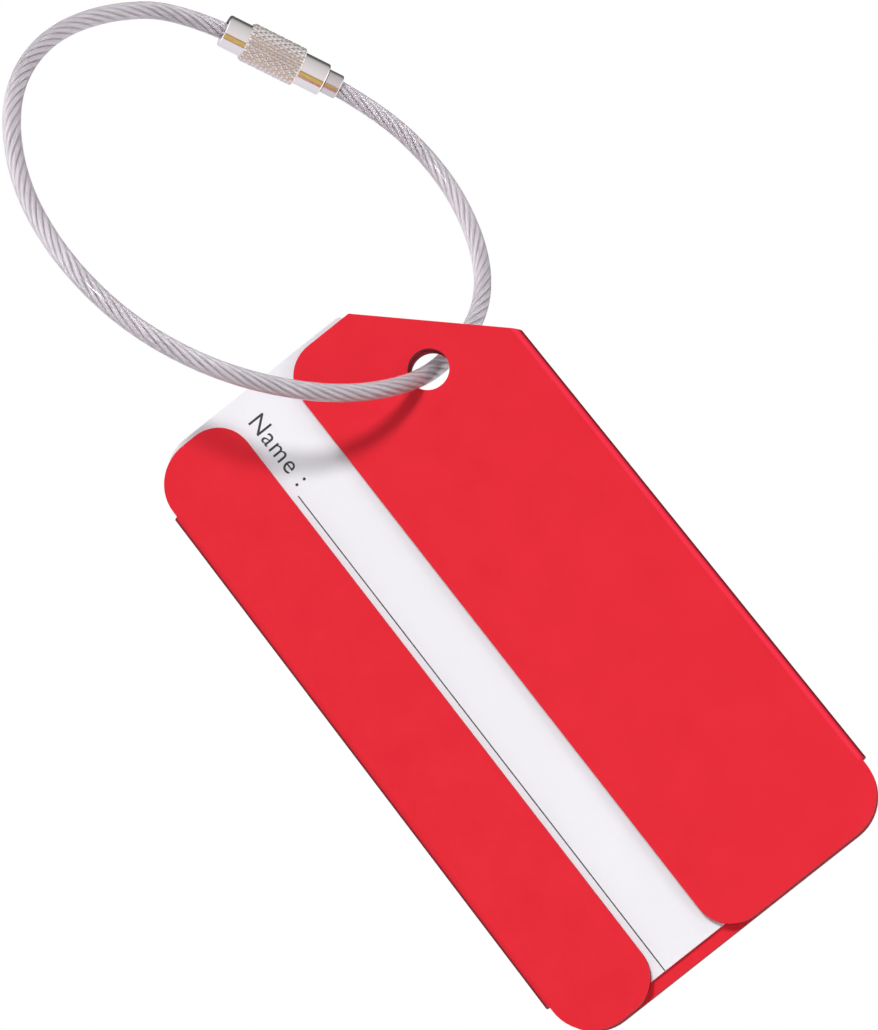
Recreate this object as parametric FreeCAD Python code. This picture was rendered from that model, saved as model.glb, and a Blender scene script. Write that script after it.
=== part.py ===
# Luggage tag: a folded aluminium card holder on a coated steel cable loop with a screw clasp.
# Everything is in millimetres. +Z is up and the front of the holder faces -Y.
# The loop hangs on a handle at the origin, and the holder hangs from the loop by its hole.

import FreeCAD, Part
import math
import os

V = FreeCAD.Vector

# ---- holder: one sheet folded over along both long sides -------------------------------------
HOLDER_LENGTH = 80.0
HOLDER_WIDTH = 43.0          # over the folds
SHEET = 0.8                  # aluminium thickness
POCKET_GAP = 0.8             # clear space between back plate and flaps
CHAMFER_LEG = 13.8           # the one cut corner, at the hole, 45 degrees
CORNER_RADIUS = 5.3          # the three round corners
FLAP_CORNER = 4.2            # corners of the flaps along the window
BEND_INSIDE = 0.1            # inside radius of each bend of a fold
FOLD_STOP = 6.0              # folds end this far from a round corner's end edge
NOTCH = 0.45                 # corners sit this far inside the outside of the fold
WIDE_FLAP_EDGE = -2.2        # across position of the wide flap's free edge
NARROW_FLAP_EDGE = -9.85     # across position of the narrow flap's free edge
HOLE_ROOM = 1.35             # radial room round the coated cable in the hole
HOLE_ACROSS = 10.8           # from the holder's centre line
HOLE_DOWN = 10.8             # from the top edge

# ---- paper name card --------------------------------------------------------------------------
CARD_LENGTH = 79.4
CARD_THICKNESS = 0.3
CARD_SIDE_GAP = 0.5          # card edge to the inside of a fold
CARD_PROUD = 0.8             # stands out at the top by this much
CARD_CORNER = 5.0
CARD_CUT_GAP = 0.3           # its cut corner stays this far inside the holder's
CARD_SLOT_GAP = 0.45         # slot is wider than the hole by this on each side

# ---- cable ------------------------------------------------------------------------------------
ROPE_DIA = 1.5               # stainless wire rope
SHEATH_DIA = 2.0             # over the clear plastic coat

# ---- screw clasp, measured along its axis from the barrel's closed face ------------------------
NECK_DIA = 3.9
KNURL_DIA = 4.7
CLOSED_NECK = 2.8
KNURL_LENGTH = 7.0
OPEN_NECK = 3.2
EDGE_BREAK = 0.2
END_WALL = 1.5
THREAD_DIA = 2.9
THREAD_GAP = 0.05            # radial running clearance of the screw
THREAD_LENGTH = 2.0          # engaged thread
RELIEF_GAP = 0.05            # chamber behind the thread is this much larger, radially
COLLAR_LENGTH = 2.0          # part of the stud that stays outside
PILOT_DIA = 2.3
PILOT_WALL = 0.5             # metal left beyond the cable end
SHEATH_GAP = 0.1             # radial, sheath through the end wall
FERRULE_DIA = 2.4
FERRULE_LENGTH = 3.0
FERRULE_FROM_WALL = 0.5
FERRULE_GAP = 0.05           # radial, ferrule over the rope
ROPE_IN_FERRULE = 2.5        # rope end past the ferrule's near face

# ---- how the pieces stand ---------------------------------------------------------------------
HOLE_AT = V(18.8, -2.6, -52.0)     # centre of the hole, middle of the holder's thickness
HANG_TILT = 19.5                   # holder turned in its own plane, so that it hangs at rest

# The cable's route: the stud end first, then down through the hole from behind,
# round in front and back up to the barrel. The second-last run crosses over the handle.
ROUTE = [
    V(13.7, 10.3, -8.0),
    V(20.3, 14.7, -14.0),
    V(25.5, 17.0, -24.0),
    V(27.0, 16.0, -34.5),
    V(25.5, 10.0, -43.5),
    V(21.0, 2.0, -50.0),
    V(16.5, -7.0, -54.0),
    V(9.0, -15.5, -54.5),
    V(0.0, -22.5, -50.5),
    V(-7.5, -26.5, -43.0),
    V(-12.5, -27.0, -33.0),
    V(-15.0, -24.0, -22.0),
    V(-14.0, -19.5, -11.0),
    V(-10.0, -12.0, -3.0),
    V(-3.8, -3.7, 1.0),
    V(3.8, 3.7, 1.0),
    V(10.4, 8.1, -5.0),
]
BEND_SHARE = 0.45            # share of the shorter run that each bend uses

# ---- worked out from the values above -----------------------------------------------------------
HALF_WIDTH = HOLDER_WIDTH / 2.0
HALF_LENGTH = HOLDER_LENGTH / 2.0
BEND_OUTSIDE = BEND_INSIDE + SHEET
BEND_LINE = HALF_WIDTH - BEND_OUTSIDE
PLATE_HALF = HALF_WIDTH - NOTCH
HOLE_DIA = SHEATH_DIA + 2 * HOLE_ROOM
HOLE_UP = HALF_LENGTH - HOLE_DOWN
BARREL_LENGTH = CLOSED_NECK + KNURL_LENGTH + OPEN_NECK
CLASP_LENGTH = BARREL_LENGTH + COLLAR_LENGTH
FERRULE_START = END_WALL + FERRULE_FROM_WALL
ROPE_END = FERRULE_START + ROPE_IN_FERRULE
CLASP_AXIS = (ROUTE[-1] - ROUTE[-2]).normalize()
CLASP_AT = ROUTE[-1] - CLASP_AXIS * ROPE_END
ROPE_START = (ROUTE[0] - CLASP_AT).dot(CLASP_AXIS)
PILOT_START = ROPE_START - PILOT_WALL


def outline_face(points, radii, y):
    """Flat face at depth y from (across, up) corners, each rounded by its own radius."""
    edges = []
    count = len(points)
    starts = []
    ends = []
    middles = []
    for i in range(count):
        here = V(points[i][0], y, points[i][1])
        before = V(points[i - 1][0], y, points[i - 1][1])
        after = V(points[(i + 1) % count][0], y, points[(i + 1) % count][1])
        if radii[i] == 0:
            starts.append(here)
            ends.append(here)
            middles.append(None)
            continue
        to_before = (before - here).normalize()
        to_after = (after - here).normalize()
        half = to_before.getAngle(to_after) / 2.0
        starts.append(here + to_before * (radii[i] / math.tan(half)))
        ends.append(here + to_after * (radii[i] / math.tan(half)))
        inward = (to_before + to_after).normalize()
        middles.append(here + inward * (radii[i] / math.sin(half) - radii[i]))
    for i in range(count):
        if middles[i] is not None:
            edges.append(Part.Arc(starts[i], middles[i], ends[i]).toShape())
        edges.append(Part.makeLine(ends[i], starts[(i + 1) % count]))
    return Part.Face(Part.Wire(edges))


def plate(points, radii, y_front, thickness):
    """Sheet with a rounded outline, standing on its front face at y_front."""
    return outline_face(points, radii, y_front).extrude(V(0, thickness, 0))


def cut_corner(setback):
    """Wedge that takes off the upper right corner, setback mm inside the holder's own cut."""
    reach = HOLDER_LENGTH
    leg = CHAMFER_LEG + setback * math.sqrt(2.0)
    corners = [
        V(HALF_WIDTH - leg - reach, -reach / 2, HALF_LENGTH + reach),
        V(HALF_WIDTH + reach, -reach / 2, HALF_LENGTH - leg - reach),
        V(HALF_WIDTH + reach, -reach / 2, HALF_LENGTH + reach),
    ]
    return Part.Face(Part.makePolygon(corners + corners[:1])).extrude(V(0, reach, 0))


def hole_cutter(diameter):
    """Round bar along the hole's axis."""
    return Part.makeCylinder(diameter / 2.0, HOLDER_WIDTH, V(HOLE_ACROSS, -HALF_WIDTH, HOLE_UP), V(0, 1, 0))


def rounded_bar(half_width, half_depth, radius, low, high):
    """Bar along the holder's length with its four long edges rounded."""
    bar = Part.makeBox(2 * half_width, 2 * half_depth, high - low, V(-half_width, -half_depth, low))
    long_edges = [edge for edge in bar.Edges if abs(edge.tangentAt(0).z) > 0.9]
    return bar.makeFillet(radius, long_edges)


def fold(side, low, high):
    """Flattened hem that joins the back plate to a flap. side is +1 right, -1 left."""
    outer = rounded_bar(HALF_WIDTH, SHEET + POCKET_GAP / 2.0, BEND_OUTSIDE, low, high)
    inner = rounded_bar(HALF_WIDTH - SHEET, POCKET_GAP / 2.0, BEND_INSIDE, low, high)
    return outer.cut(inner).common(side_strip(side, low, high))


def side_strip(side, low, high):
    """Block beyond the bend line, where the fold takes the place of the flat sheet."""
    start = BEND_LINE if side > 0 else -BEND_LINE - HALF_WIDTH
    return Part.makeBox(HALF_WIDTH, HOLDER_WIDTH, high - low, V(start, -HALF_WIDTH, low))


def make_holder():
    """Back plate, two flaps and two folds in one sheet, with the hole and the cut corner."""
    low = -HALF_LENGTH
    high = HALF_LENGTH
    back = plate(
        [(-PLATE_HALF, low), (PLATE_HALF, low), (PLATE_HALF, high), (-PLATE_HALF, high)],
        [CORNER_RADIUS, CORNER_RADIUS, 0, CORNER_RADIUS],
        POCKET_GAP / 2.0,
        SHEET,
    )
    wide = plate(
        [(WIDE_FLAP_EDGE, low), (PLATE_HALF, low), (PLATE_HALF, high), (WIDE_FLAP_EDGE, high)],
        [FLAP_CORNER, CORNER_RADIUS, 0, FLAP_CORNER],
        -POCKET_GAP / 2.0 - SHEET,
        SHEET,
    )
    narrow = plate(
        [(-PLATE_HALF, low), (NARROW_FLAP_EDGE, low), (NARROW_FLAP_EDGE, high), (-PLATE_HALF, high)],
        [CORNER_RADIUS, FLAP_CORNER, FLAP_CORNER, CORNER_RADIUS],
        -POCKET_GAP / 2.0 - SHEET,
        SHEET,
    )
    fold_low = low + FOLD_STOP
    left_high = high - FOLD_STOP
    flat = [sheet.cut(side_strip(1, fold_low, high)) for sheet in (back, wide)] + [narrow]
    flat[0] = flat[0].cut(side_strip(-1, fold_low, left_high))
    flat[2] = flat[2].cut(side_strip(-1, fold_low, left_high))
    folds = [fold(1, fold_low, high), fold(-1, fold_low, left_high)]
    holder = flat[0].fuse(flat[1:] + folds).removeSplitter()
    return holder.cut(cut_corner(0.0)).cut(hole_cutter(HOLE_DIA))


def make_card():
    """Paper card between the plates, slotted so that it slides out past the cable."""
    half = HALF_WIDTH - SHEET - CARD_SIDE_GAP
    top = HALF_LENGTH + CARD_PROUD
    low = top - CARD_LENGTH
    sheet = plate(
        [(-half, low), (half, low), (half, top), (-half, top)],
        [CARD_CORNER, CARD_CORNER, 0, CARD_CORNER],
        -CARD_THICKNESS / 2.0,
        CARD_THICKNESS,
    )
    slot_half = HOLE_DIA / 2.0 + CARD_SLOT_GAP
    slot = Part.makeBox(2 * slot_half, 2, HALF_LENGTH, V(HOLE_ACROSS - slot_half, -1, HOLE_UP))
    return sheet.cut(cut_corner(CARD_CUT_GAP)).cut(hole_cutter(2 * slot_half)).cut(slot)


def hang(shape):
    """Carry a holder-frame shape to where it hangs: hole on HOLE_AT, turned by HANG_TILT."""
    shape.translate(V(-HOLE_ACROSS, 0, -HOLE_UP))
    shape.rotate(V(0, 0, 0), V(0, 1, 0), -HANG_TILT)
    shape.translate(HOLE_AT)
    return shape


def on_clasp_axis(shape):
    """Carry a shape made along +Z from the barrel's closed face onto the clasp's axis."""
    shape.Placement = FreeCAD.Placement(CLASP_AT, FreeCAD.Rotation(V(0, 0, 1), CLASP_AXIS))
    return shape


def turned(profile):
    """Solid of revolution about +Z from (radius, height) corners."""
    points = [V(radius, 0, height) for radius, height in profile]
    return Part.Face(Part.makePolygon(points + points[:1])).revolve(V(0, 0, 0), V(0, 0, 1), 360)


def make_barrel():
    """Knurled sleeve: closed neck round the cable, open neck with the thread."""
    neck = NECK_DIA / 2.0
    knurl = KNURL_DIA / 2.0
    knurl_end = CLOSED_NECK + KNURL_LENGTH
    bore = THREAD_DIA / 2.0 + THREAD_GAP
    chamber = bore + RELIEF_GAP
    thread_from = BARREL_LENGTH - THREAD_LENGTH
    wall_bore = SHEATH_DIA / 2.0 + SHEATH_GAP
    return turned([
        (wall_bore, 0),
        (neck - EDGE_BREAK, 0),
        (neck, EDGE_BREAK),
        (neck, CLOSED_NECK),
        (knurl - EDGE_BREAK, CLOSED_NECK),
        (knurl, CLOSED_NECK + EDGE_BREAK),
        (knurl, knurl_end - EDGE_BREAK),
        (knurl - EDGE_BREAK, knurl_end),
        (neck, knurl_end),
        (neck, BARREL_LENGTH - EDGE_BREAK),
        (neck - EDGE_BREAK, BARREL_LENGTH),
        (bore, BARREL_LENGTH),
        (bore, thread_from),
        (chamber, thread_from),
        (chamber, END_WALL),
        (wall_bore, END_WALL),
    ])


def make_stud():
    """Screw crimped on the cable's first end: pilot, thread and outer collar."""
    thread = THREAD_DIA / 2.0
    pilot = PILOT_DIA / 2.0
    bore = ROPE_DIA / 2.0
    thread_from = BARREL_LENGTH - THREAD_LENGTH
    return turned([
        (0, PILOT_START),
        (pilot - EDGE_BREAK, PILOT_START),
        (pilot, PILOT_START + EDGE_BREAK),
        (pilot, thread_from),
        (thread, thread_from + thread - pilot),
        (thread, CLASP_LENGTH - EDGE_BREAK),
        (thread - EDGE_BREAK, CLASP_LENGTH),
        (bore, CLASP_LENGTH),
        (bore, ROPE_START),
        (0, ROPE_START),
    ])


def make_ferrule():
    """Stop ring on the cable's second end, inside the barrel."""
    ring = Part.makeCylinder(FERRULE_DIA / 2.0, FERRULE_LENGTH, V(0, 0, FERRULE_START))
    bore = Part.makeCylinder(ROPE_DIA / 2.0 + FERRULE_GAP, FERRULE_LENGTH, V(0, 0, FERRULE_START))
    return ring.cut(bore)


def route_edges():
    """Straight runs joined by tangent arcs, and the arcs' radii."""
    edges = []
    radii = []
    start = ROUTE[0]
    for i in range(1, len(ROUTE) - 1):
        arriving = ROUTE[i] - ROUTE[i - 1]
        leaving = ROUTE[i + 1] - ROUTE[i]
        shorter = min(arriving.Length, leaving.Length)
        arriving.normalize()
        leaving.normalize()
        half = arriving.getAngle(leaving) / 2.0
        tangent = BEND_SHARE * shorter
        radius = tangent / math.tan(half)
        bend_start = ROUTE[i] - arriving * tangent
        bend_end = ROUTE[i] + leaving * tangent
        inward = (leaving - arriving).normalize()
        middle = ROUTE[i] + inward * (radius / math.cos(half) - radius)
        edges.append(Part.makeLine(start, bend_start))
        edges.append(Part.Arc(bend_start, middle, bend_end).toShape())
        radii.append(radius)
        start = bend_end
    edges.append(Part.makeLine(start, ROUTE[-1]))
    return edges, radii


def swept_rod(edges, diameter):
    """Round rod along a chain of tangent lines and arcs."""
    start = edges[0].Vertexes[0].Point
    direction = edges[0].Vertexes[1].Point - start
    ring = Part.Wire(Part.makeCircle(diameter / 2.0, start, direction))
    return Part.Wire(edges).makePipe(Part.Face(ring))


def trimmed(edges):
    """The same route without its bare ends: stud mouth to the barrel's closed face."""
    first = Part.makeLine(CLASP_AT + CLASP_AXIS * CLASP_LENGTH, edges[0].Vertexes[1].Point)
    last = Part.makeLine(edges[-1].Vertexes[0].Point, CLASP_AT)
    return [first] + edges[1:-1] + [last]


def make_cable():
    """Wire rope over the whole route and the clear sheath round its outer part."""
    edges, radii = route_edges()
    rope = swept_rod(edges, ROPE_DIA)
    covered = trimmed(edges)
    sheath = swept_rod(covered, SHEATH_DIA).cut(swept_rod(covered, ROPE_DIA))
    length = sum(edge.Length for edge in edges)
    section = math.pi * ROPE_DIA ** 2 / 4.0
    print("cable bend radii", [round(radius, 1) for radius in radii])
    print("cable length %.2f, volume over section x length %.4f" % (length, rope.Volume / (section * length)))
    return rope, sheath


def main():
    os.makedirs("parts", exist_ok=True)
    rope, sheath = make_cable()
    pieces = {
        "tag_holder": hang(make_holder()),
        "name_card": hang(make_card()),
        "wire_rope": rope,
        "clear_sheath": sheath,
        "screw_stud": on_clasp_axis(make_stud()),
        "screw_barrel": on_clasp_axis(make_barrel()),
        "stop_ferrule": on_clasp_axis(make_ferrule()),
    }
    for name, shape in pieces.items():
        print(name, "valid", shape.isValid(), "solids", len(shape.Solids), "volume %.2f" % shape.Volume)
        shape.exportStep("parts/" + name + ".step")
    print("clasp axis", [round(value, 5) for value in CLASP_AXIS], "barrel face at", CLASP_AT)


main()
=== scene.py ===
"""Luggage tag: folded red holder, paper card, coated steel cable and screw clasp. Metres, +Z up."""

import math

import bpy
import numpy as np
from mathutils import Matrix, Vector


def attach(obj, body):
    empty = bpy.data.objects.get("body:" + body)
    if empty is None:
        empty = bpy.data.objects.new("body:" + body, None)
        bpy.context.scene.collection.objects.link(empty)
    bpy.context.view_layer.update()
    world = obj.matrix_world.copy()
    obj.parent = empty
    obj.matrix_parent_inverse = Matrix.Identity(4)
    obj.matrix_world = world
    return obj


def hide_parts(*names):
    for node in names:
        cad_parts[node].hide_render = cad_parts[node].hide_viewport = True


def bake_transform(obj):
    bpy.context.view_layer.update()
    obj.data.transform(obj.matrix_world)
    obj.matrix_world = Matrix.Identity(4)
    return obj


MM = 0.001

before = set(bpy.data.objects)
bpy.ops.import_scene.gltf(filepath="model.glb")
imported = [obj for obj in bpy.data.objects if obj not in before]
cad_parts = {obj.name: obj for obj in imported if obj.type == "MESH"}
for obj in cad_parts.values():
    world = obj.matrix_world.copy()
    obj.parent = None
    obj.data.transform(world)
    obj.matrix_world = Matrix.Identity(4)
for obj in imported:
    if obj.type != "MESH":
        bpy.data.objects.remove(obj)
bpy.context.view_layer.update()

# ---- sizes shared with the CAD ------------------------------------------------------------------
HOLDER_LENGTH = 80 * MM
HOLE_ACROSS = 10.8 * MM
HOLE_DOWN = 10.8 * MM
HOLE_AT = Vector((18.8, -2.6, -52.0)) * MM
HANG_TILT = math.radians(19.5)
CARD_THICKNESS = 0.3 * MM

ROPE_DIA = 1.5 * MM
SHEATH_DIA = 2.0 * MM

NECK_DIA = 3.9 * MM
KNURL_DIA = 4.7 * MM
CLOSED_NECK = 2.8 * MM
KNURL_LENGTH = 7.0 * MM
OPEN_NECK = 3.2 * MM
EDGE_BREAK = 0.2 * MM
END_WALL = 1.5 * MM
THREAD_DIA = 2.9 * MM
THREAD_GAP = 0.05 * MM
THREAD_LENGTH = 2.0 * MM
THREAD_PITCH = 0.5 * MM
RELIEF_GAP = 0.05 * MM
COLLAR_LENGTH = 2.0 * MM
PILOT_DIA = 2.3 * MM
PILOT_WALL = 0.5 * MM
SHEATH_GAP = 0.1 * MM
FERRULE_FROM_WALL = 0.5 * MM
ROPE_IN_FERRULE = 2.5 * MM

ROUTE = [
    (0.0137, 0.0103, -0.0080),
    (0.0203, 0.0147, -0.0140),
    (0.0255, 0.0170, -0.0240),
    (0.0270, 0.0160, -0.0345),
    (0.0255, 0.0100, -0.0435),
    (0.0210, 0.0020, -0.0500),
    (0.0165, -0.0070, -0.0540),
    (0.0090, -0.0155, -0.0545),
    (0.0000, -0.0225, -0.0505),
    (-0.0075, -0.0265, -0.0430),
    (-0.0125, -0.0270, -0.0330),
    (-0.0150, -0.0240, -0.0220),
    (-0.0140, -0.0195, -0.0110),
    (-0.0100, -0.0120, -0.0030),
    (-0.0038, -0.0037, 0.0010),
    (0.0038, 0.0037, 0.0010),
    (0.0104, 0.0081, -0.0050),
]

# ---- worked out from the sizes above ------------------------------------------------------------
HOLE_UP = HOLDER_LENGTH / 2 - HOLE_DOWN
HOLDER_ACROSS = (math.cos(HANG_TILT), 0.0, math.sin(HANG_TILT))
WALL_BORE_DIA = SHEATH_DIA + 2 * SHEATH_GAP
BORE_DIA = THREAD_DIA + 2 * THREAD_GAP
CHAMBER_DIA = BORE_DIA + 2 * RELIEF_GAP
ROPE_END = END_WALL + FERRULE_FROM_WALL + ROPE_IN_FERRULE      # from the barrel's closed face
KNURL_END = CLOSED_NECK + KNURL_LENGTH
BARREL_LENGTH = KNURL_END + OPEN_NECK
CLASP_LENGTH = BARREL_LENGTH + COLLAR_LENGTH
THREAD_START = BARREL_LENGTH - THREAD_LENGTH
CLASP_AXIS = (Vector(ROUTE[-1]) - Vector(ROUTE[-2])).normalized()
CLASP_AT = Vector(ROUTE[-1]) - CLASP_AXIS * ROPE_END
ROPE_START = (Vector(ROUTE[0]) - CLASP_AT).dot(CLASP_AXIS)

# ---- camera -------------------------------------------------------------------------------------
CAMERA_AT = Vector((0.0600, -0.3934, -0.1650))
CAMERA_AIM = Vector((0.0145, 0.0, -0.0670))
CAMERA_ROLL = math.radians(18.0)
CAMERA_LENS = 129.7
CLIP_START = 0.01
CLIP_END = 10.0


def make_camera():
    """Camera at the photographer's place, turned about its own axis by CAMERA_ROLL."""
    data = bpy.data.cameras.new("camera")
    data.lens = CAMERA_LENS
    data.clip_start = CLIP_START
    data.clip_end = CLIP_END
    camera = bpy.data.objects.new("camera", data)
    bpy.context.scene.collection.objects.link(camera)
    turn = (CAMERA_AIM - CAMERA_AT).to_track_quat("-Z", "Y").to_matrix()
    turn = turn @ Matrix.Rotation(-CAMERA_ROLL, 3, "Z")
    camera.matrix_world = Matrix.Translation(CAMERA_AT) @ turn.to_4x4()
    bpy.context.scene.camera = camera


# ---- mesh helpers -------------------------------------------------------------------------------
SHARP_ANGLE = math.radians(40)


def mesh_object(name, verts, faces, material, smooth=True):
    """Object in the scene from points and faces."""
    mesh = bpy.data.meshes.new(name)
    mesh.from_pydata([tuple(v) for v in verts], [], faces)
    mesh.validate()
    mesh.update()
    if smooth:
        mesh.polygons.foreach_set("use_smooth", [True] * len(mesh.polygons))
    obj = bpy.data.objects.new(name, mesh)
    bpy.context.scene.collection.objects.link(obj)
    mesh.materials.append(material)
    return obj


def full_turn(count):
    """Angles evenly round a circle."""
    return np.linspace(0, 2 * math.pi, count, endpoint=False)


def ring_faces(rings, around, first=0, closed=False):
    """Quads between consecutive rings of the same size, and from the last to the first if closed."""
    faces = []
    for i in range(rings if closed else rings - 1):
        a = first + i * around
        b = first + (i + 1) % rings * around
        for j in range(around):
            k = (j + 1) % around
            faces.append((a + j, a + k, b + k, b + j))
    return faces


def rod_faces(rings, around, first=0):
    """Quads between consecutive rings, and a flat face over each end."""
    faces = ring_faces(rings, around, first)
    last = first + (rings - 1) * around
    faces.append(tuple(range(first + around - 1, first - 1, -1)))
    faces.append(tuple(range(last, last + around)))
    return faces


def around_axes(angle, first, second):
    """Directions at these angles (per point) in the plane of two axes (per point)."""
    return np.cos(angle)[..., None] * first[:, None, :] + np.sin(angle)[..., None] * second[:, None, :]


def around_clasp(radius, along, angle):
    """Points at this radius, distance from the barrel's closed face and angle round the clasp's axis."""
    side = CLASP_AXIS.orthogonal().normalized()
    up = CLASP_AXIS.cross(side)
    radius, along, angle = np.broadcast_arrays(radius, along, angle)
    return (
        np.array(CLASP_AT)
        + along[..., None] * np.array(CLASP_AXIS)
        + (radius * np.cos(angle))[..., None] * np.array(side)
        + (radius * np.sin(angle))[..., None] * np.array(up)
    )


def turned_verts(rings, angle):
    """Points round the clasp's axis from (radius, height) rings; a radius may vary round its ring."""
    return np.concatenate([around_clasp(radius, height, angle) for radius, height in rings])


def keep_sharp_edges(obj):
    """Keep edges steeper than SHARP_ANGLE sharp on a smooth mesh."""
    mesh = obj.data
    normals = {}
    for polygon in mesh.polygons:
        for key in polygon.edge_keys:
            normals.setdefault(key, []).append(polygon.normal.copy())
    limit = math.cos(SHARP_ANGLE)
    sharp = {}
    for key, sides in normals.items():
        sharp[key] = len(sides) == 2 and sides[0].dot(sides[1]) < limit
    flags = [sharp.get(tuple(sorted(edge.vertices)), False) for edge in mesh.edges]
    mesh.edges.foreach_set("use_edge_sharp", flags)


# ---- lines --------------------------------------------------------------------------------------
SPLINE_ORDER = 3
SPLINE_RESOLUTION = 40
SAME_POINT = 1e-7
FRAME_HINT = (0.3, 0.2, 0.9)           # any direction that the cable's start doesn't point in


def distances(points):
    """Distance of each point from the first one, along the line."""
    return np.r_[0, np.cumsum(np.linalg.norm(np.diff(points, axis=0), axis=1))]


def cable_line():
    """Points along the smooth curve over the route."""
    curve = bpy.data.curves.new("cable_line", "CURVE")
    curve.dimensions = "3D"
    curve.resolution_u = SPLINE_RESOLUTION
    spline = curve.splines.new("NURBS")
    spline.points.add(len(ROUTE) - 1)
    for point, place in zip(spline.points, ROUTE):
        point.co = (*place, 1.0)
    spline.order_u = SPLINE_ORDER
    spline.use_endpoint_u = True
    carrier = bpy.data.objects.new("cable_line", curve)
    mesh = bpy.data.meshes.new_from_object(carrier)
    points = np.array([v.co for v in mesh.vertices])
    bpy.data.objects.remove(carrier)
    bpy.data.curves.remove(curve)
    bpy.data.meshes.remove(mesh)
    keep = np.r_[True, np.linalg.norm(np.diff(points, axis=0), axis=1) > SAME_POINT]
    return points[keep]


def even(points, step, start=0.0, end=None):
    """The same line at even steps, from start to end along its length, and those lengths."""
    along = distances(points)
    end = along[-1] if end is None else end
    count = max(2, int(round((end - start) / step)) + 1)
    places = np.linspace(start, end, count)
    return np.stack([np.interp(places, along, points[:, k]) for k in range(3)], 1), places


def carried_frames(points):
    """Tangent, normal and binormal at each point, carried along without twist."""
    tangent = np.gradient(points, axis=0)
    tangent /= np.linalg.norm(tangent, axis=1)[:, None]
    normal = np.zeros_like(points)
    start = np.cross(tangent[0], FRAME_HINT)
    normal[0] = start / np.linalg.norm(start)
    for i in range(1, len(points)):
        n = normal[i - 1] - tangent[i] * (normal[i - 1] @ tangent[i])
        normal[i] = n / np.linalg.norm(n)
    return tangent, normal, np.cross(tangent, normal)


# ---- shader nodes -------------------------------------------------------------------------------
NOISE_DETAIL = 3.0
BROAD_RATIO = 12                       # the colour's noise is this much broader than the grain
MOTTLE_FROM = 0.3                      # noise values between which the two colours mix
MOTTLE_TO = 0.7
GRAIN_STRENGTH = 0.5


def new_material(name):
    """Material, its node tree and its Principled shader."""
    material = bpy.data.materials.new(name)
    material.use_nodes = True
    return material, material.node_tree, material.node_tree.nodes["Principled BSDF"]


def object_noise(tree, scale):
    """Noise fixed to the object, from 0 to 1."""
    place = tree.nodes.new("ShaderNodeTexCoord")
    noise = tree.nodes.new("ShaderNodeTexNoise")
    noise.inputs["Scale"].default_value = scale
    noise.inputs["Detail"].default_value = NOISE_DETAIL
    tree.links.new(place.outputs["Object"], noise.inputs["Vector"])
    return noise.outputs["Fac"]


def between(tree, value, low, high, start=0.0, end=1.0):
    """From low to high as value goes from start to end."""
    spread = tree.nodes.new("ShaderNodeMapRange")
    spread.inputs["From Min"].default_value = start
    spread.inputs["From Max"].default_value = end
    spread.inputs["To Min"].default_value = low
    spread.inputs["To Max"].default_value = high
    tree.links.new(value, spread.inputs["Value"])
    return spread.outputs["Result"]


def ramp(tree, value, stops):
    """Colour ramp through (position, colour) stops."""
    node = tree.nodes.new("ShaderNodeValToRGB")
    elements = node.color_ramp.elements
    for place, (position, colour) in ((0, stops[0]), (1, stops[-1])):
        elements[place].position = position
        elements[place].color = (*colour, 1)
    for position, colour in stops[1:-1]:
        elements.new(position).color = (*colour, 1)
    tree.links.new(value, node.inputs["Fac"])
    return node.outputs["Color"]


def mixed(tree, share, first, second):
    """From first to second as share goes from 0 to 1; each is a colour or a socket."""
    mix = tree.nodes.new("ShaderNodeMix")
    mix.data_type = "RGBA"
    tree.links.new(share, mix.inputs["Factor"])
    for name, colour in (("A", first), ("B", second)):
        if isinstance(colour, bpy.types.NodeSocket):
            tree.links.new(colour, mix.inputs[name])
        else:
            mix.inputs[name].default_value = (*colour, 1)
    return mix.outputs["Result"]


def dot_with(tree, vector, direction):
    """How far a vector goes along a direction."""
    dot = tree.nodes.new("ShaderNodeVectorMath")
    dot.operation = "DOT_PRODUCT"
    dot.inputs[1].default_value = direction
    tree.links.new(vector, dot.inputs[0])
    return dot.outputs["Value"]


def math_node(tree, operation, *values):
    """One Math node on these sockets."""
    node = tree.nodes.new("ShaderNodeMath")
    node.operation = operation
    for place, value in enumerate(values):
        tree.links.new(value, node.inputs[place])
    return node.outputs["Value"]


def either(tree, share, first, second):
    """The second shader where share is 1, else the first."""
    mix = tree.nodes.new("ShaderNodeMixShader")
    tree.links.new(share, mix.inputs["Fac"])
    tree.links.new(first, mix.inputs[1])
    tree.links.new(second, mix.inputs[2])
    return mix.outputs["Shader"]


def bump(tree, height, shader, distance, strength):
    """Small relief on the shader's surface."""
    relief = tree.nodes.new("ShaderNodeBump")
    relief.inputs["Distance"].default_value = distance
    relief.inputs["Strength"].default_value = strength
    tree.links.new(height, relief.inputs["Height"])
    tree.links.new(relief.outputs["Normal"], shader.inputs["Normal"])


# ---- materials ----------------------------------------------------------------------------------
RED_FACE = ((0.80, 0.025, 0.041), (0.83, 0.028, 0.045))
# painted highlight: a paler, pinker red put into the base colour on the right fold, where the bend turns
# to the light
RED_BEND_PAINTED_HIGHLIGHT = (0.98, 0.036, 0.078)
# painted shade: dark maroon on every wall that faces neither front nor back (sheared edges, hole walls,
# the folds' outermost strip)
RED_EDGE_PAINTED_SHADE = (0.17, 0.003, 0.010)
RED_METALLIC = 0.12
RED_SPECULAR = 0.08
# where across the right fold the painted highlight lies, by how far the surface turns to the right
BEND_HIGHLIGHT_STOPS = ((0.0, (0, 0, 0)), (0.16, (1, 1, 1)), (0.42, (1, 1, 1)), (0.68, (0, 0, 0)))
EDGE_FROM = 0.50                       # how squarely a surface faces front or back; less square than this is painted dark as shade
FACE_FROM = 0.80

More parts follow.
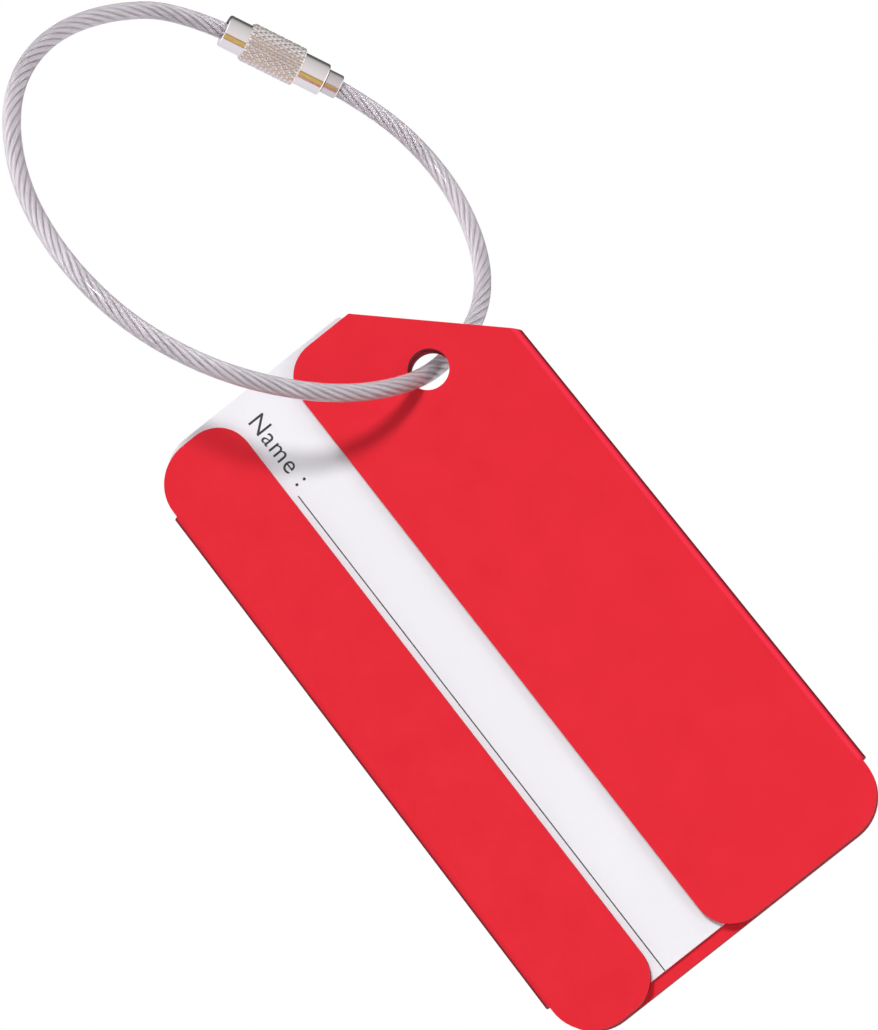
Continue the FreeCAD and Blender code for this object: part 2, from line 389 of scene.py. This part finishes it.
COAT_COLOUR = (0.98, 0.97, 0.99, 1)
COAT_SHADOW = (0.86, 0.85, 0.88, 1)
COAT_IOR = 1.45
COAT_ROUGHNESS = (0.04, 0.12)
COAT_GRAIN = 900
COAT_RELIEF = 0.02 * MM
COAT_STRENGTH = 0.05


def grained(name, first, second, metallic, roughness, scale, relief):
    """Principled material with noise in its colour, roughness and surface."""
    material, tree, shader = new_material(name)
    shader.inputs["Metallic"].default_value = metallic
    fine = object_noise(tree, scale)
    broad = object_noise(tree, scale / BROAD_RATIO)
    colour = ramp(tree, broad, ((MOTTLE_FROM, first), (MOTTLE_TO, second)))
    tree.links.new(colour, shader.inputs["Base Color"])
    tree.links.new(between(tree, fine, *roughness), shader.inputs["Roughness"])
    bump(tree, fine, shader, relief, GRAIN_STRENGTH)
    return material


def anodised_material(name):
    """Satin dyed aluminium, with a painted highlight in the base colour where the right bend turns to the
    light, and painted shade in dark maroon on the sheared edges, hole walls and the folds' outermost
    strip.
    """
    material = grained(name, *RED_FACE, RED_METALLIC, roughness=(0.48, 0.56), scale=2600, relief=0.01 * MM)
    tree = material.node_tree
    shader = tree.nodes["Principled BSDF"]
    shader.inputs["Specular IOR Level"].default_value = RED_SPECULAR
    normal = tree.nodes.new("ShaderNodeTexCoord").outputs["Normal"]
    mottled = shader.inputs["Base Color"].links[0].from_socket
    # painted highlight on the right bend, mixed into the dyed red
    bend = ramp(tree, dot_with(tree, normal, HOLDER_ACROSS), BEND_HIGHLIGHT_STOPS)
    dyed_with_painted_highlight = mixed(tree, bend, mottled, RED_BEND_PAINTED_HIGHLIGHT)
    # painted shade: the base colour goes dark maroon where the surface faces neither front nor back
    squareness = math_node(tree, "ABSOLUTE", dot_with(tree, normal, (0, 1, 0)))
    face = between(tree, squareness, 0.0, 1.0, EDGE_FROM, FACE_FROM)
    tree.links.new(mixed(tree, face, RED_EDGE_PAINTED_SHADE, dyed_with_painted_highlight), shader.inputs["Base Color"])
    tree.links.new(between(tree, face, 0.0, RED_METALLIC), shader.inputs["Metallic"])
    return material


def clear_material(name):
    """Clear plastic that refracts what is inside it and lets the lamps through."""
    material, tree, shader = new_material(name)
    shader.inputs["Base Color"].default_value = COAT_COLOUR
    shader.inputs["Transmission Weight"].default_value = 1.0
    shader.inputs["IOR"].default_value = COAT_IOR
    fine = object_noise(tree, COAT_GRAIN)
    tree.links.new(between(tree, fine, *COAT_ROUGHNESS), shader.inputs["Roughness"])
    bump(tree, fine, shader, COAT_RELIEF, COAT_STRENGTH)
    through = tree.nodes.new("ShaderNodeBsdfTransparent")
    through.inputs["Color"].default_value = COAT_SHADOW
    shadow_ray = tree.nodes.new("ShaderNodeLightPath").outputs["Is Shadow Ray"]
    surface = either(tree, shadow_ray, shader.outputs["BSDF"], through.outputs["BSDF"])
    tree.links.new(surface, tree.nodes["Material Output"].inputs["Surface"])
    return material


# ---- cable --------------------------------------------------------------------------------------
STRANDS = 6
STRAND_RADIUS = 0.25 * MM
STRAND_LAY = 11 * MM
STRAND_AROUND = 24
WIRES = 6
WIRE_TURN = 5 * MM
WIRE_GROOVE = 0.06                     # share of the strand's radius
WIRE_ROUNDNESS = 0.7
COAT_AROUND = 48
CABLE_STEP = 0.4 * MM


def strand_outline():
    """Angles and radii round one strand: six wires showing, with grooves between them."""
    angle = full_turn(STRAND_AROUND)
    crown = np.abs(np.cos(WIRES * angle / 2)) ** WIRE_ROUNDNESS
    return angle, STRAND_RADIUS * (1 - WIRE_GROOVE + WIRE_GROOVE * crown)


def make_strands(line, material):
    """Strands laid round the cable's middle, each with its own twist of wires."""
    points, along = even(line, CABLE_STEP)
    tangent, normal, binormal = carried_frames(points)
    centre = ROPE_DIA / 2 - STRAND_RADIUS
    outline, radius = strand_outline()
    verts, faces = [], []
    for strand in range(STRANDS):
        turn = 2 * math.pi * (along / STRAND_LAY + strand / STRANDS)
        out = np.cos(turn)[:, None] * normal + np.sin(turn)[:, None] * binormal
        middle = points + centre * out
        twist = outline[None, :] - 2 * math.pi * along[:, None] / WIRE_TURN
        ring = around_axes(twist, out, np.cross(tangent, out))
        rings = middle[:, None, :] + ring * radius[None, :, None]
        faces += rod_faces(len(points), STRAND_AROUND, len(verts) * len(points) * STRAND_AROUND)
        verts.append(rings.reshape(-1, 3))
    return mesh_object("wire_strands", np.concatenate(verts), faces, material)


def make_coat(line, material):
    """Solid clear rod that the strands are set in, from the stud's mouth to the barrel's closed face."""
    points, _ = even(line, CABLE_STEP, CLASP_LENGTH - ROPE_START, distances(line)[-1] - ROPE_END)
    _, normal, binormal = carried_frames(points)
    ring = around_axes(full_turn(COAT_AROUND)[None, :], normal, binormal)
    verts = (points[:, None, :] + ring * SHEATH_DIA / 2).reshape(-1, 3)
    return mesh_object("clear_coat", verts, rod_faces(len(points), COAT_AROUND), material)


# ---- clasp --------------------------------------------------------------------------------------
BARREL_AROUND = 240
STUD_AROUND = 96
SHOULDER_RINGS = 5
KNURL_STARTS = 18
KNURL_PITCH = 1.05 * MM
KNURL_DEPTH = 0.20 * MM
KNURL_SLOPE = 1.25
KNURL_TOP = 0.8                        # diamonds are cut flat at this share of a full peak
KNURL_RINGS = 88
KNURL_EDGE = 0.35 * MM                 # length over which the knurl's ends are turned down
KNURL_EDGE_DROP = 0.7                  # how far down, as a share of that length
CREST_SLOPE = 1.15                     # thread crests are cut flat by this
CREST_LEAST = 0.2                      # height of the first crest, as a share of a full one
THREAD_STEPS = 10                      # rings per turn of the thread
TIP_RADIUS = 0.05 * MM
COLLAR_GROOVE = 0.12 * MM
GROOVE_STEP = 0.02 * MM


def ridge(phase):
    """Triangle wave from 0 to 1 and back, once per unit of phase."""
    return 1 - np.abs(2 * (phase % 1.0) - 1)


def knurl_radius(height, angle):
    """Radius of the diamond knurl, which two crossing sets of grooves leave standing."""
    turn = KNURL_STARTS * angle / (2 * math.pi)
    right = ridge(turn + height / KNURL_PITCH)
    left = ridge(turn - height / KNURL_PITCH)
    tops = np.minimum(np.minimum(right, left) * KNURL_SLOPE, KNURL_TOP)
    return KNURL_DIA / 2 - KNURL_DEPTH * (KNURL_TOP - tops) / KNURL_TOP


def rounded_shoulder(radius, height, closing):
    """Rings over a rounded outside edge that starts at height; closing where the radius shrinks."""
    rings = []
    for turn in np.linspace(0, math.pi / 2, SHOULDER_RINGS):
        rise = math.sin(turn) if closing else 1 - math.cos(turn)
        inset = 1 - math.cos(turn) if closing else 1 - math.sin(turn)
        rings.append((radius - EDGE_BREAK * inset, height + EDGE_BREAK * rise))
    return rings


def knurl_rings(angle):
    """Rings over the knurled band, with its two ends turned down."""
    rings = [(knurl_radius(0, angle) - KNURL_EDGE * KNURL_EDGE_DROP, CLOSED_NECK)]
    for height in np.linspace(0, KNURL_LENGTH, KNURL_RINGS):
        lean = max(0.0, KNURL_EDGE - min(height, KNURL_LENGTH - height)) / KNURL_EDGE
        drop = KNURL_EDGE * KNURL_EDGE_DROP * lean ** 2
        rings.append((knurl_radius(height, angle) - drop, CLOSED_NECK + height))
    return rings


def make_barrel(material, knurl_material):
    """Sleeve from its end wall's bore, over the outside, and back through the thread and chamber."""
    angle = full_turn(BARREL_AROUND)
    neck = NECK_DIA / 2
    rings = [(WALL_BORE_DIA / 2, END_WALL), (WALL_BORE_DIA / 2, 0)]
    rings += rounded_shoulder(neck, 0, False)
    rings += [(neck, CLOSED_NECK)]
    rings += knurl_rings(angle)
    rings += [(neck, KNURL_END), (neck, BARREL_LENGTH - EDGE_BREAK)]
    rings += rounded_shoulder(neck, BARREL_LENGTH - EDGE_BREAK, True)
    rings += [(BORE_DIA / 2, BARREL_LENGTH), (BORE_DIA / 2, THREAD_START)]
    rings += [(CHAMBER_DIA / 2, THREAD_START), (CHAMBER_DIA / 2, END_WALL)]
    faces = ring_faces(len(rings), BARREL_AROUND, closed=True)
    barrel = mesh_object("knurled_barrel", turned_verts(rings, angle), faces, material)
    barrel.data.materials.append(knurl_material)
    for polygon in barrel.data.polygons:
        along = (polygon.center - CLASP_AT).dot(CLASP_AXIS)
        radius = (polygon.center - CLASP_AT - CLASP_AXIS * along).length
        if radius > neck and CLOSED_NECK < along < KNURL_END:
            polygon.material_index = 1
    keep_sharp_edges(barrel)
    return barrel


def thread_rings(angle):
    """Rings over the stud's helical thread, which runs out at both ends."""
    low = PILOT_DIA / 2
    depth = THREAD_DIA / 2 - low
    rings = []
    for height in np.arange(THREAD_START, BARREL_LENGTH, THREAD_PITCH / THREAD_STEPS):
        crest = np.minimum(ridge(angle / (2 * math.pi) - height / THREAD_PITCH) * CREST_SLOPE, 1.0)
        started = (height - THREAD_START) / THREAD_PITCH + CREST_LEAST
        left = (BARREL_LENGTH - height) / THREAD_PITCH
        rings.append((low + depth * crest * min(1.0, started, left), height))
    return rings


def make_stud(material):
    """Screw crimped on the cable: pilot, thread, groove and collar, and the bore that the rope is in."""
    angle = full_turn(STUD_AROUND)
    pilot = PILOT_DIA / 2
    thread = THREAD_DIA / 2
    pilot_from = ROPE_START - PILOT_WALL
    rings = [(TIP_RADIUS, pilot_from), (pilot - EDGE_BREAK, pilot_from), (pilot, pilot_from + EDGE_BREAK)]
    rings += thread_rings(angle)
    rings += [(pilot, BARREL_LENGTH), (thread - COLLAR_GROOVE, BARREL_LENGTH + GROOVE_STEP)]
    rings += [(thread, BARREL_LENGTH + COLLAR_GROOVE), (thread, CLASP_LENGTH - EDGE_BREAK)]
    rings += rounded_shoulder(thread, CLASP_LENGTH - EDGE_BREAK, True)
    rings += [(ROPE_DIA / 2, CLASP_LENGTH), (ROPE_DIA / 2, ROPE_START)]
    faces = rod_faces(len(rings), STUD_AROUND)
    stud = mesh_object("threaded_stud", turned_verts(rings, angle), faces, material)
    keep_sharp_edges(stud)
    return stud


# ---- card ---------------------------------------------------------------------------------------
PRINT_OFFSET = 0.012 * MM              # ink in front of the paper
FIELDS = ("Name :", "Tel :")
TEXT_SIZE = 2.95 * MM
LETTER_SPACING = 1.12
LETTER_RESOLUTION = 6
NAME_ACROSS = -8.6 * MM                # the first row's baseline; its text reads down the card
NAME_TOP = 37.6 * MM
LINE_ACROSS = -9.1 * MM                # the first row's writing line
LINE_TOP = 27.45 * MM
LINE_LOW = -38.6 * MM
LINE_WIDTH = 0.135 * MM
ROW_PITCH = -6.3 * MM


def hung(points):
    """Points in the holder's own frame (across, through, up) where it hangs."""
    points = np.asarray(points, float)
    across = points[:, 0] - HOLE_ACROSS
    up = points[:, 2] - HOLE_UP
    turned = np.empty_like(points)
    turned[:, 0] = across * math.cos(HANG_TILT) - up * math.sin(HANG_TILT) + HOLE_AT.x
    turned[:, 1] = points[:, 1] + HOLE_AT.y
    turned[:, 2] = across * math.sin(HANG_TILT) + up * math.cos(HANG_TILT) + HOLE_AT.z
    return turned


def letters(text):
    """Outline letters as a flat mesh: points along and above the baseline, and faces."""
    curve = bpy.data.curves.new("letters", "FONT")
    curve.body = text
    curve.size = TEXT_SIZE
    curve.space_character = LETTER_SPACING
    curve.resolution_u = LETTER_RESOLUTION
    carrier = bpy.data.objects.new("letters", curve)
    bpy.context.scene.collection.objects.link(carrier)
    bpy.context.view_layer.update()
    mesh = bpy.data.meshes.new_from_object(carrier)
    verts = np.array([v.co for v in mesh.vertices])
    faces = [tuple(p.vertices) for p in mesh.polygons]
    bpy.data.objects.remove(carrier)
    bpy.data.curves.remove(curve)
    bpy.data.meshes.remove(mesh)
    return verts, faces


def printed_row(text, shift):
    """One field name and its writing line, in the holder's own frame: verts and faces."""
    front = -CARD_THICKNESS / 2 - PRINT_OFFSET
    flat, faces = letters(text)
    along = flat[:, 0] - flat[:, 0].min()
    above = flat[:, 1]
    name = np.stack([NAME_ACROSS + shift + above, np.full(len(flat), front), NAME_TOP - along], 1)
    left = LINE_ACROSS + shift - LINE_WIDTH / 2
    right = LINE_ACROSS + shift + LINE_WIDTH / 2
    line = np.array([
        (left, front, LINE_LOW),
        (right, front, LINE_LOW),
        (right, front, LINE_TOP),
        (left, front, LINE_TOP),
    ])
    count = len(name)
    return np.concatenate([name, line]), faces + [(count, count + 1, count + 2, count + 3)]


def make_print(material):
    """Field names and writing lines on the front of the card."""
    verts, faces = np.empty((0, 3)), []
    for row, text in enumerate(FIELDS):
        places, shapes = printed_row(text, row * ROW_PITCH)
        faces += [tuple(len(verts) + i for i in shape) for shape in shapes]
        verts = np.concatenate([verts, places])
    return mesh_object("card_print", hung(verts), faces, material, smooth=False)


# ---- light --------------------------------------------------------------------------------------
KEY_AIM = (0.0188, -0.0038, -0.085)
KEY_AT = (0.0075, -0.568, 0.118)
KEY_SIZE = 0.095
KEY_POWER = 2.15
FILL_AT = (0.22, -0.16, -0.20)
FILL_SIZE = 0.10
FILL_POWER = 0.13
BACK_AT = (-0.10, 0.50, 0.10)
BACK_SIZE = 0.35
BACK_POWER = 0.9

WHITE = (1, 1, 1)

# Soft room for diffuse light, brightest behind and above.
SKY_WAY = (0.0, 0.5, 0.866)
ROOM_BELOW = 0.02
ROOM_ABOVE = 0.52
ROOM_COLOUR = (1.0, 0.985, 1.0)

# Room that is seen in reflections, by angle round the clasp: 0.5 is ahead of the clasp's front,
# 0.75 is above it, 0.25 below it, and 0 and 1 are behind it.
FRONT_WAY = (0.188, -0.879, -0.438)
UP_WAY = (0.724, -0.177, 0.667)
BANDS = [
    (0.00, (0.70, 0.68, 0.74)),
    (0.20, (0.78, 0.75, 0.82)),
    (0.345, (0.80, 0.75, 0.82)),
    (0.358, (0.26, 0.17, 0.08)),
    (0.375, (0.62, 0.39, 0.095)),
    (0.440, (0.66, 0.43, 0.115)),
    (0.462, (0.22, 0.14, 0.07)),
    (0.475, (0.82, 0.76, 0.78)),
    (0.60, (0.73, 0.69, 0.70)),
    (0.74, (0.60, 0.58, 0.58)),
    (0.815, (0.38, 0.37, 0.37)),
    (0.835, (0.10, 0.10, 0.10)),
    (1.00, (0.14, 0.13, 0.14)),
]

# Past the clasp's two ends the bands give way to bright walls, and light through the coat is stronger.
END_WAY = (0.664, 0.442, -0.603)
WALLS_FROM = 0.55
WALLS_TO = 0.85
WALL_COLOUR = (1.35, 1.32, 1.37)
COAT_LIGHT = (0.87, 1.9)               # away from the ends, and toward them
COAT_LIGHT_COLOUR = (1.0, 0.975, 1.0)


def area_lamp(name, at, aim, size, power):
    """Round lamp that lights, but is itself neither seen nor mirrored."""
    data = bpy.data.lights.new(name, "AREA")
    data.shape = "DISK"
    data.size = size
    data.energy = power
    lamp = bpy.data.objects.new(name, data)
    bpy.context.scene.collection.objects.link(lamp)
    turn = (Vector(aim) - Vector(at)).to_track_quat("-Z", "Y").to_matrix().to_4x4()
    lamp.matrix_world = Matrix.Translation(Vector(at)) @ turn
    lamp.visible_camera = False
    lamp.visible_glossy = False


def background(tree, colour):
    """Background node of one colour."""
    node = tree.nodes.new("ShaderNodeBackground")
    node.inputs["Color"].default_value = (*colour, 1)
    return node


def make_world():
    """White to look at, a soft room for diffuse light, and bands of studio cards in reflections."""
    world = bpy.data.worlds.new("studio")
    world.use_nodes = True
    bpy.context.scene.world = world
    tree = world.node_tree
    way = tree.nodes.new("ShaderNodeTexCoord").outputs["Generated"]

    up = dot_with(tree, way, UP_WAY)
    angle = math_node(tree, "ARCTAN2", up, dot_with(tree, way, FRONT_WAY))
    bands = ramp(tree, between(tree, angle, 0.0, 1.0, -math.pi, math.pi), BANDS)
    near_end = math_node(tree, "ABSOLUTE", dot_with(tree, way, END_WAY))
    near_end = between(tree, near_end, 0.0, 1.0, WALLS_FROM, WALLS_TO)
    mirror = background(tree, WHITE)
    tree.links.new(mixed(tree, near_end, bands, WALL_COLOUR), mirror.inputs["Color"])

    soft = background(tree, ROOM_COLOUR)
    strength = between(tree, dot_with(tree, way, SKY_WAY), ROOM_BELOW, ROOM_ABOVE, -1.0, 1.0)
    tree.links.new(strength, soft.inputs["Strength"])

    through_coat = background(tree, COAT_LIGHT_COLOUR)
    tree.links.new(between(tree, near_end, *COAT_LIGHT), through_coat.inputs["Strength"])

    seen = tree.nodes["Background"]
    seen.inputs["Color"].default_value = (*WHITE, 1)
    surface = soft.outputs["Background"]
    ray = tree.nodes.new("ShaderNodeLightPath")
    kinds = (("Is Glossy Ray", mirror), ("Is Transmission Ray", through_coat), ("Is Camera Ray", seen))
    for kind, shown in kinds:
        surface = either(tree, ray.outputs[kind], surface, shown.outputs["Background"])
    tree.links.new(surface, tree.nodes["World Output"].inputs["Surface"])


# ---- floor --------------------------------------------------------------------------------------
FLOOR_LEVEL = -0.30
FLOOR_RADIUS = 0.45
FLOOR_AROUND = 96


def make_floor(material):
    """Round pale floor far below the hanging tag."""
    angle = full_turn(FLOOR_AROUND)
    level = np.full(FLOOR_AROUND, FLOOR_LEVEL)
    verts = np.stack([FLOOR_RADIUS * np.cos(angle), FLOOR_RADIUS * np.sin(angle), level], 1)
    floor = mesh_object("floor", verts, [tuple(range(FLOOR_AROUND))], material, smooth=False)
    floor.visible_glossy = False


# ---- build --------------------------------------------------------------------------------------
SOFT_EDGE = 0.12 * MM
SOFT_EDGE_ANGLE = math.radians(35)

make_camera()

red = anodised_material("red_anodised")
paper = grained(
    "card_paper",
    (0.900, 0.885, 0.928),
    (0.920, 0.905, 0.948),
    metallic=0.0,
    roughness=(0.50, 0.65),
    scale=1800,
    relief=0.01 * MM,
)
ink = grained(
    "ink",
    (0.030, 0.030, 0.034),
    (0.05, 0.05, 0.056),
    metallic=0.0,
    roughness=(0.5, 0.7),
    scale=2500,
    relief=0.005 * MM,
)
steel = grained(
    "rope_steel",
    (0.64, 0.61, 0.63),
    (0.75, 0.72, 0.745),
    metallic=0.85,
    roughness=(0.52, 0.64),
    scale=1500,
    relief=0.002 * MM,
)
plate = grained(
    "bright_plate",
    (0.92, 0.90, 0.90),
    (0.96, 0.94, 0.94),
    metallic=1.0,
    roughness=(0.08, 0.17),
    scale=2200,
    relief=0.004 * MM,
)
knurled = grained(
    "knurled_plate",
    (0.72, 0.68, 0.66),
    (0.80, 0.76, 0.74),
    metallic=1.0,
    roughness=(0.32, 0.42),
    scale=2200,
    relief=0.004 * MM,
)
turned_plate = grained(
    "turned_plate",
    (0.74, 0.70, 0.71),
    (0.80, 0.76, 0.77),
    metallic=1.0,
    roughness=(0.20, 0.30),
    scale=2200,
    relief=0.004 * MM,
)
crimp = grained(
    "crimped_metal",
    (0.62, 0.62, 0.63),
    (0.72, 0.72, 0.73),
    metallic=1.0,
    roughness=(0.30, 0.45),
    scale=2500,
    relief=0.01 * MM,
)
ground = grained(
    "pale_floor",
    (0.80, 0.80, 0.80),
    (0.84, 0.84, 0.84),
    metallic=0.0,
    roughness=(0.6, 0.8),
    scale=60,
    relief=0.2 * MM,
)
clear = clear_material("clear_coat")

line = cable_line()
strands = make_strands(line, steel)
coat = make_coat(line, clear)
stud = make_stud(turned_plate)
barrel = make_barrel(plate, knurled)
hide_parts("wire_rope")
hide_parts("clear_sheath")
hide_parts("screw_stud")
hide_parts("screw_barrel")
for cable in (strands, coat):
    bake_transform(cable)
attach(stud, "cable_loop")
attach(barrel, "barrel")

lettering = make_print(ink)
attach(lettering, "card")

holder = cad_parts["tag_holder"]
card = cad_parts["name_card"]
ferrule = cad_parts["stop_ferrule"]
for node, material in ((holder, red), (card, paper), (ferrule, crimp)):
    node.data.materials.clear()
    node.data.materials.append(material)

softened = holder.modifiers.new("softened_edges", "BEVEL")
softened.width = SOFT_EDGE
softened.segments = 2
softened.limit_method = "ANGLE"
softened.angle_limit = SOFT_EDGE_ANGLE

make_world()
area_lamp("key", KEY_AT, KEY_AIM, KEY_SIZE, KEY_POWER)
area_lamp("fill", FILL_AT, KEY_AIM, FILL_SIZE, FILL_POWER)
area_lamp("back", BACK_AT, KEY_AIM, BACK_SIZE, BACK_POWER)
make_floor(ground)
bpy.context.scene.view_settings.view_transform = "Standard"
